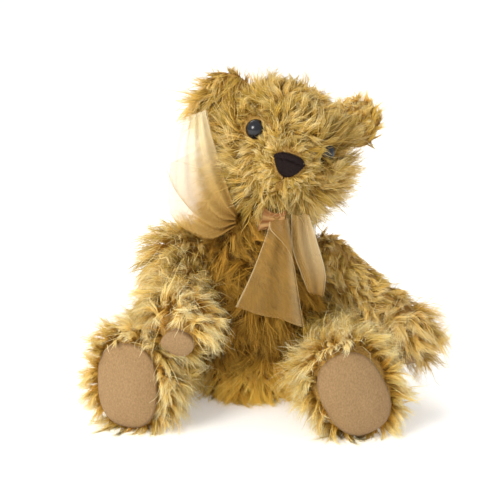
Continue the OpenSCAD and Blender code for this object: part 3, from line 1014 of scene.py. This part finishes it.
def make_mouth():
    """Stitches just off the muzzle: one down from the nose, and one each way from its foot."""
    right, up, out = head_axes()
    radius = 19.6 * MM
    muzzle = NOSE - out * 18 * MM

    def on_muzzle(x, y):
        """A point on the muzzle's ball, x to the left and y up from the nose."""
        a, b = x / radius, y / radius
        way = out * math.cos(a) * math.cos(b) + right * math.sin(a) + up * math.sin(b)
        return muzzle + radius * unit(way)

    down = [on_muzzle(0, (-6 - 11.5 * k / 8) * MM) for k in range(9)]
    shapes = [thread(down, 0.42 * MM)]
    for side in (-1, 1):
        curve = [on_muzzle(side * 8 * MM * k / 7, (-17.5 - 2.2 * math.sin(k / 7 * math.pi / 2)) * MM)
                 for k in range(8)]
        shapes.append(thread(curve, 0.42 * MM))
    mouth = join_shapes("stitched_mouth", shapes)
    dress(mouth, THREAD, "head", "thread", "mouth_stitching")


# ------ ribbon

RIBBON_T = 0.22 * MM                        # thickness
PEACH = np.array([0.58, 0.37, 0.11])
PALE = np.array([0.85, 0.72, 0.45])
AMBER = np.array([0.30, 0.155, 0.03])
RUSSET = np.array([0.30, 0.12, 0.035])
CORAL = np.array([0.55, 0.32, 0.12])


def curve_through(points, steps):
    """A smooth curve through points, as steps + 1 points of even parameter."""
    p = np.array(points, float) * MM
    p = np.concatenate([[2 * p[0] - p[1]], p, [2 * p[-1] - p[-2]]])
    spans = len(p) - 3
    out = []
    for i in range(steps + 1):
        t = i / steps * spans
        k = min(int(t), spans - 1)
        t -= k
        a, b, c, d = p[k:k + 4]
        square = (2 * a - 5 * b + 4 * c - d) * t**2
        cube = (3 * b - a - 3 * c + d) * t**3
        out.append(0.5 * (2 * b + (c - a) * t + square + cube))
    return np.array(out)


def ribbon(name, node, grid, tone, cover):
    """A sheet of ribbon: rows of points with a thickness and closed edges, that stand for a CAD node.

    tone(u, v) is its colour and cover(u, v) its density. u runs across the ribbon and v along it.
    """
    grid = np.array(grid)
    nu, nv = grid.shape[:2]
    du, dv = np.gradient(grid, axis=0), np.gradient(grid, axis=1)
    normal = unit(np.cross(du, dv)) * RIBBON_T / 2
    points = np.concatenate([(grid + normal).reshape(-1, 3), (grid - normal).reshape(-1, 3)])
    faces = []

    def at(i, j, side):
        return side * nu * nv + i * nv + j

    for i in range(nu - 1):
        for j in range(nv - 1):
            faces.append((at(i, j, 0), at(i + 1, j, 0), at(i + 1, j + 1, 0), at(i, j + 1, 0)))
            faces.append((at(i, j, 1), at(i, j + 1, 1), at(i + 1, j + 1, 1), at(i + 1, j, 1)))
    for i in range(nu - 1):
        for j in (0, nv - 1):
            faces.append((at(i, j, 0), at(i + 1, j, 0), at(i + 1, j, 1), at(i, j, 1)))
    for j in range(nv - 1):
        for i in (0, nu - 1):
            faces.append((at(i, j, 0), at(i, j + 1, 0), at(i, j + 1, 1), at(i, j, 1)))
    obj = closed_object(name, points, faces)
    u, v = np.meshgrid(np.linspace(0, 1, nu), np.linspace(0, 1, nv), indexing="ij")
    colour = np.tile(tone(u, v).reshape(-1, 3), (2, 1))
    shut = np.tile(cover(u, v).ravel(), 2)
    paint(obj.data, "ribbon_colour", colour)
    covered = obj.data.attributes.new("ribbon_cover", "FLOAT", "POINT")
    covered.data.foreach_set("value", shut.astype(np.float32))
    dress(obj, ORGANZA, "torso", "organza", node)
    return obj


def loft(first, last, across, shift):
    """Rows of points from one curve to another. shift(u) moves the row at u, which runs from 0 to 1."""
    rows = []
    for i in range(across + 1):
        u = i / across
        rows.append(first * (1 - u) + last * u + shift(u))
    return rows


def fade(low, high, t):
    return low + (high - low) * t[..., None]


def selvedge(u):
    """1 on the woven edges of the ribbon and 0 inside."""
    return smooth(1 - np.minimum(u, 1 - u) / 0.03)


def make_right_loop():
    """The standing loop: up from the knot, over at the top, and down behind."""
    steps, across = 72, 30
    right = curve_through([(-11, -38, 119), (-15, -37, 130), (-20, -34, 146), (-25, -30, 162),
                           (-28.5, -27, 175), (-28, -20, 175), (-25, -18, 160), (-21, -20, 145),
                           (-16, -27, 130), (-11, -33, 118)], steps)
    left = curve_through([(-11, -38, 112), (-28, -42, 104.5), (-48, -40, 118), (-49, -33, 146),
                          (-44, -28, 168), (-43, -21, 169), (-50, -19, 140), (-50, -23, 116),
                          (-32, -29, 105), (-11, -33, 111)], steps)
    v = np.linspace(0, 1, steps + 1)
    belly = np.sin(math.pi * v) ** 0.6
    front = np.where(v < 0.5, -1, 1) * np.sin(2 * math.pi * v) ** 2

    def shift(u):
        fold = np.sin(u * math.pi * 8 + 1.2 * np.sin(v * 5)) * (2.6 - 1.5 * belly) * MM
        bow = front * math.sin(math.pi * u) * 3.5 * MM
        return np.outer(fold + bow, [0.15, 1, 0.1])

    def tone(u, v):
        # Painted light and shade on the peach ribbon: palest over the top of the loop, and darker amber low
        # down by the knot.
        high = np.sin(math.pi * v)
        low = fade(AMBER, PEACH, smooth(high / 0.7))
        return low + (PALE - low) * smooth((high - 0.5) / 0.5)[..., None]

    def cover(u, v):
        thin = 1 - 0.6 * smooth(u * 1.1) * smooth(np.sin(math.pi * v) / 0.6)
        return (0.40 + 0.40 * (1 - smooth(np.sin(math.pi * v) / 0.75)) + 0.25 * selvedge(u)) * thin
    loop = ribbon("ribbon_right_loop", "bow_right_loop", loft(right, left, across, shift), tone, cover)
    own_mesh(loop)


def make_right_tail():
    """The tail that stands up behind the loop."""
    steps, across = 36, 20
    right = curve_through([(-9, -31, 116), (-14, -24, 130), (-22, -20, 146), (-27, -19, 156)], steps)
    left = curve_through([(-10, -32, 111), (-30, -26, 112), (-46, -23, 128), (-53, -22, 144)], steps)
    v = np.linspace(0, 1, steps + 1)

    def shift(u):
        return np.outer(np.sin(u * math.pi * 5) * (2.2 - 1.4 * v) * MM, [0, 1, 0])
    tone = lambda u, v: fade(AMBER, PEACH, smooth(v / 0.9))
    cover = lambda u, v: (0.25 + 0.4 * selvedge(u)) * (1 - 0.5 * smooth(v))
    tail = ribbon("ribbon_right_tail", "bow_right_tail", loft(right, left, across, shift), tone, cover)
    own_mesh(tail)


def make_front_tail():
    """The tail over the chest. Its right edge is turned over near the knot."""
    steps, body, flap = 48, 24, 14
    left = curve_through([(9, -42, 118), (6, -48, 108), (-2, -51, 87), (-11.5, -53, 67)], steps)
    crease = curve_through([(19, -42, 118), (20.5, -48, 106), (22.5, -51, 87), (27.5, -54, 56)], steps)
    edge = curve_through([(8, -44, 116), (8.5, -49, 108), (16, -52, 96), (23, -53, 84)], steps)
    v = np.linspace(0, 1, steps + 1)

    def shift(u):
        return np.outer(np.sin(u * math.pi * 3.2 + 1.3) * (1.1 + 0.5 * v) * MM, [0, 1, 0])
    grid = loft(left, crease, body, shift)
    last = grid[-1]
    shut = smooth(1 - (v - 0.1) / 0.55)[:, None]
    for i in range(1, flap + 1):
        u = i / flap
        row = last + (edge - last) * u * shut
        over = math.sin(math.pi * min(1, 1.6 * u)) * 1.6 * MM * shut[:, 0] + 0.05 * MM * i
        aside = (1 - shut[:, 0]) * 0.03 * MM * i
        grid.append(row + np.outer(-over, [0, 1, 0]) + np.outer(aside, [1, 0, 0]))

    def tone(u, v):
        low = fade(AMBER, PEACH, 0.1 + 0.2 * smooth(v / 0.9))
        # Painted highlight along the fold where the edge turns over; the woven edges are paler of
        # themselves.
        crease = smooth(1 - np.abs(u - 0.62) / 0.12)
        return low + (PALE - low) * (0.5 * selvedge(u) + 0.25 * crease)[..., None]
    cover = lambda u, v: 0.34 + 0.4 * selvedge(u) + 0.35 * smooth(1 - (1 - v) / 0.012)
    ribbon("ribbon_front_tail", "bow_front_tail", grid, tone, cover)


def make_left_loop():
    """The small loop that hangs beside the front tail."""
    steps, across = 60, 22
    inner = curve_through([(20.6, -41, 119), (21, -46, 101), (26, -48, 86), (30.5, -48, 75),
                           (31, -42, 74.5), (27, -40, 86), (23, -39, 100), (20, -37, 115)], steps)
    outer = curve_through([(31, -39, 119), (35.6, -43, 104.5), (40.5, -46, 86), (39.5, -46, 72.5),
                           (39, -40, 72.5), (39.5, -37, 86), (34.5, -35, 104), (29, -35, 115)], steps)
    v = np.linspace(0, 1, steps + 1)

    def shift(u):
        fold = np.sin(u * math.pi * 3.4 + 0.6 + v * 2) * (2.2 - 1.4 * np.sin(math.pi * v)) * MM
        return np.outer(fold, [0.15, 1, 0])

    def tone(u, v):
        low = fade(AMBER, PEACH, 0.1 + 0.35 * smooth(1 - v * 1.6))
        # The woven edges are paler, and a painted highlight lies on the lit fold near the top of the loop's
        # front.
        edge_and_fold_highlight = 0.6 * selvedge(u) + 0.45 * smooth(1 - np.abs(v - 0.15) / 0.3) * smooth(u / 0.8)
        return low + (PALE - low) * np.minimum(edge_and_fold_highlight, 1)[..., None]
    cover = lambda u, v: 0.44 + 0.35 * selvedge(u)
    ribbon("ribbon_left_loop", "bow_left_loop", loft(inner, outer, across, shift), tone, cover)


def make_knot():
    """The wrap round the middle of the bow, gathered into pleats that open at both ends."""
    middle = centre("bow_knot") + np.array([3, -2, -1.5]) * MM
    around, across = 72, 30
    left = unit(np.array([1, 0.05, -0.25]))
    up = unit(np.array([0.25, 0.1, 1]))
    out = np.cross(left, up)
    nearly_round = 0.985 * 2 * math.pi              # the wrap's ends don't quite meet
    grid = []
    for i in range(across + 1):
        x = -1 + 2 * i / across
        row = []
        for j in range(around + 1):
            a = nearly_round * j / around
            pleat = 1 + 0.13 * math.sin(7 * a + 1.5 * x) + 0.05 * math.sin(19 * a)
            r = (3.9 + 2.0 * abs(x) ** 2) * MM * pleat
            row.append(middle + left * x * 6.5 * MM + up * r * 1.2 * math.sin(a) - out * r * math.cos(a))
        grid.append(row)

    def tone(u, v):
        # Painted shade: darker in the pleats' folds and in the hollows where the wrap opens at both ends.
        crease = 0.5 + 0.5 * np.sin(v * 2 * math.pi * 7 + u * 3)
        return fade(RUSSET, CORAL, crease * (1 - 0.7 * selvedge(u)))
    cover = lambda u, v: np.full(u.shape, 0.85)
    ribbon("ribbon_knot", "bow_knot", grid, tone, cover)


def make_collar():
    """The ribbon round the neck, gathered small."""
    place, axis = joint_frame("head_turn")
    side = unit(np.cross(axis, [0, 1, 0]))
    front = np.cross(axis, side)
    around, across = 150, 54
    height, radius = 6.5 * MM, 26.6 * MM
    grid = []
    for i in range(across + 1):
        u = i / across
        row = []
        for j in range(around + 1):
            a = 2 * math.pi * j / around
            r = radius + 1.2 * MM * math.sin(u * math.pi * 12 + 0.5 * math.sin(3 * a))
            round_neck = (side * math.cos(a) + front * math.sin(a)) * r
            row.append(place + round_neck + axis * (0.8 * MM + u * height))
        grid.append(row)
    # Painted light and shade: lighter on the crests of the gathers and darker in their folds.
    tone = lambda u, v: fade(AMBER, PEACH, 0.5 + 0.5 * np.sin(u * 12 * math.pi))
    cover = lambda u, v: np.full(u.shape, 0.6)
    ribbon("ribbon_collar", "neck_ribbon", grid, tone, cover)


# ------ the bear

# The right ear's pile hangs from its flap, and the left ear's stands up. The right arm's is longest on the
# outside, and the left arm's on the underside.
RIGHT = {"ear_comb": (-0.9, -0.6, -0.7), "ear_tint": (0.95, 0.93, 0.9),
         "ear_length": ((-0.8, 0, -0.6), 8, 11), "arm_length": ((-1, 0, 0), 15, 8), "arm_lift": (70, 12),
         "arm_spread": 1.2, "arm_tips": CREAM}
LEFT = {"ear_comb": (-0.4, -0.3, 1.0), "ear_tint": (1.22, 1.26, 1.30),
        "ear_length": ((-0.8, 0, -0.6), 9, 0), "arm_length": ((0, 0, -1), 9, 12), "arm_lift": (50, 0),
        "arm_spread": 0.35, "arm_tips": STRAW}

make_camera()
make_studio()
dress_hardware()

torso = stuffed_skin("torso")
head = stuffed_skin("head")
grow("torso_pile", "torso", torso, 101, torso_comb, evenly(18.5 * MM), torso_skip, torso_pale_and_bounce, swirl=0.75,
     tip_colour=GOLD, tint=torso_tint_shade_and_bounce)
grow("head_pile", "head", head, 201, head_comb, head_length, head_skip, evenly(0.46),
     locks=0.09e6, hairs=30, curl=0.45, swirl=0.7, tint=head_tint_and_eye_shade, trim=eye_trim)
grow("head_under_pile", "head", head, 231, head_comb, evenly(5.0 * MM), head_skip, evenly(0.2),
     locks=0.10e6, hairs=9, lift=(60, 20), tint=head_tint_and_eye_shade, trim=eye_trim)
grow("muzzle_pile", "head", head, 251, head_comb, evenly(5.0 * MM), muzzle_skip, evenly(0.6),
     locks=0.3e6, hairs=10, tint=head_tint_and_eye_shade, trim=eye_trim)
for number, (side, look) in enumerate((("right", RIGHT), ("left", LEFT))):
    ear, arm, leg = f"{side}_ear", f"{side}_arm", f"{side}_leg"
    palm, foot = f"{side}_paw_pad", f"{side}_foot_pad"
    skin = ear_skin(ear)
    grow(f"{ear}_pile", "head", skin, 301 + 10 * number, ear_comb(look["ear_comb"]),
         longer_towards(ear, *look["ear_length"]), evenly(False), evenly(0.4), locks=0.12e6, hairs=22,
         lift=(34, 4), swirl=0.35, tint=evenly(look["ear_tint"]))
    skin = stuffed_skin(arm)
    grow(f"{arm}_pile", arm, skin, 401 + 10 * number,
         limb_comb(f"{side}_shoulder", palm, look["arm_spread"], 0.6),
         longer_towards(f"{arm}_shell", *look["arm_length"]), limb_skip(palm, 0.4 * MM),
         near_pad(palm, 0.55, 34 * MM), lift=look["arm_lift"], tip_colour=look["arm_tips"],
         tint=evenly((0.97, 1.00, 1.05)), trim=pad_trim(palm))
    skin = stuffed_skin(leg)
    grow(f"{leg}_pile", leg, skin, 501 + 10 * number, limb_comb(f"{side}_hip", foot, 1, 0.35),
         evenly(17.5 * MM), limb_skip(foot, 0.5 * MM), near_pad(foot, 0.3, 28 * MM), lift=(80, 12),
         tint=evenly((1.08, 1.14, 1.26)), trim=pad_trim(foot))
    sole(f"{side}_sole", foot, leg, 5.2 * MM)
    sole(f"{side}_palm", palm, arm, 1.6 * MM)
make_nose()
make_mouth()
make_collar()
make_knot()
make_right_loop()
make_right_tail()
make_front_tail()
make_left_loop()
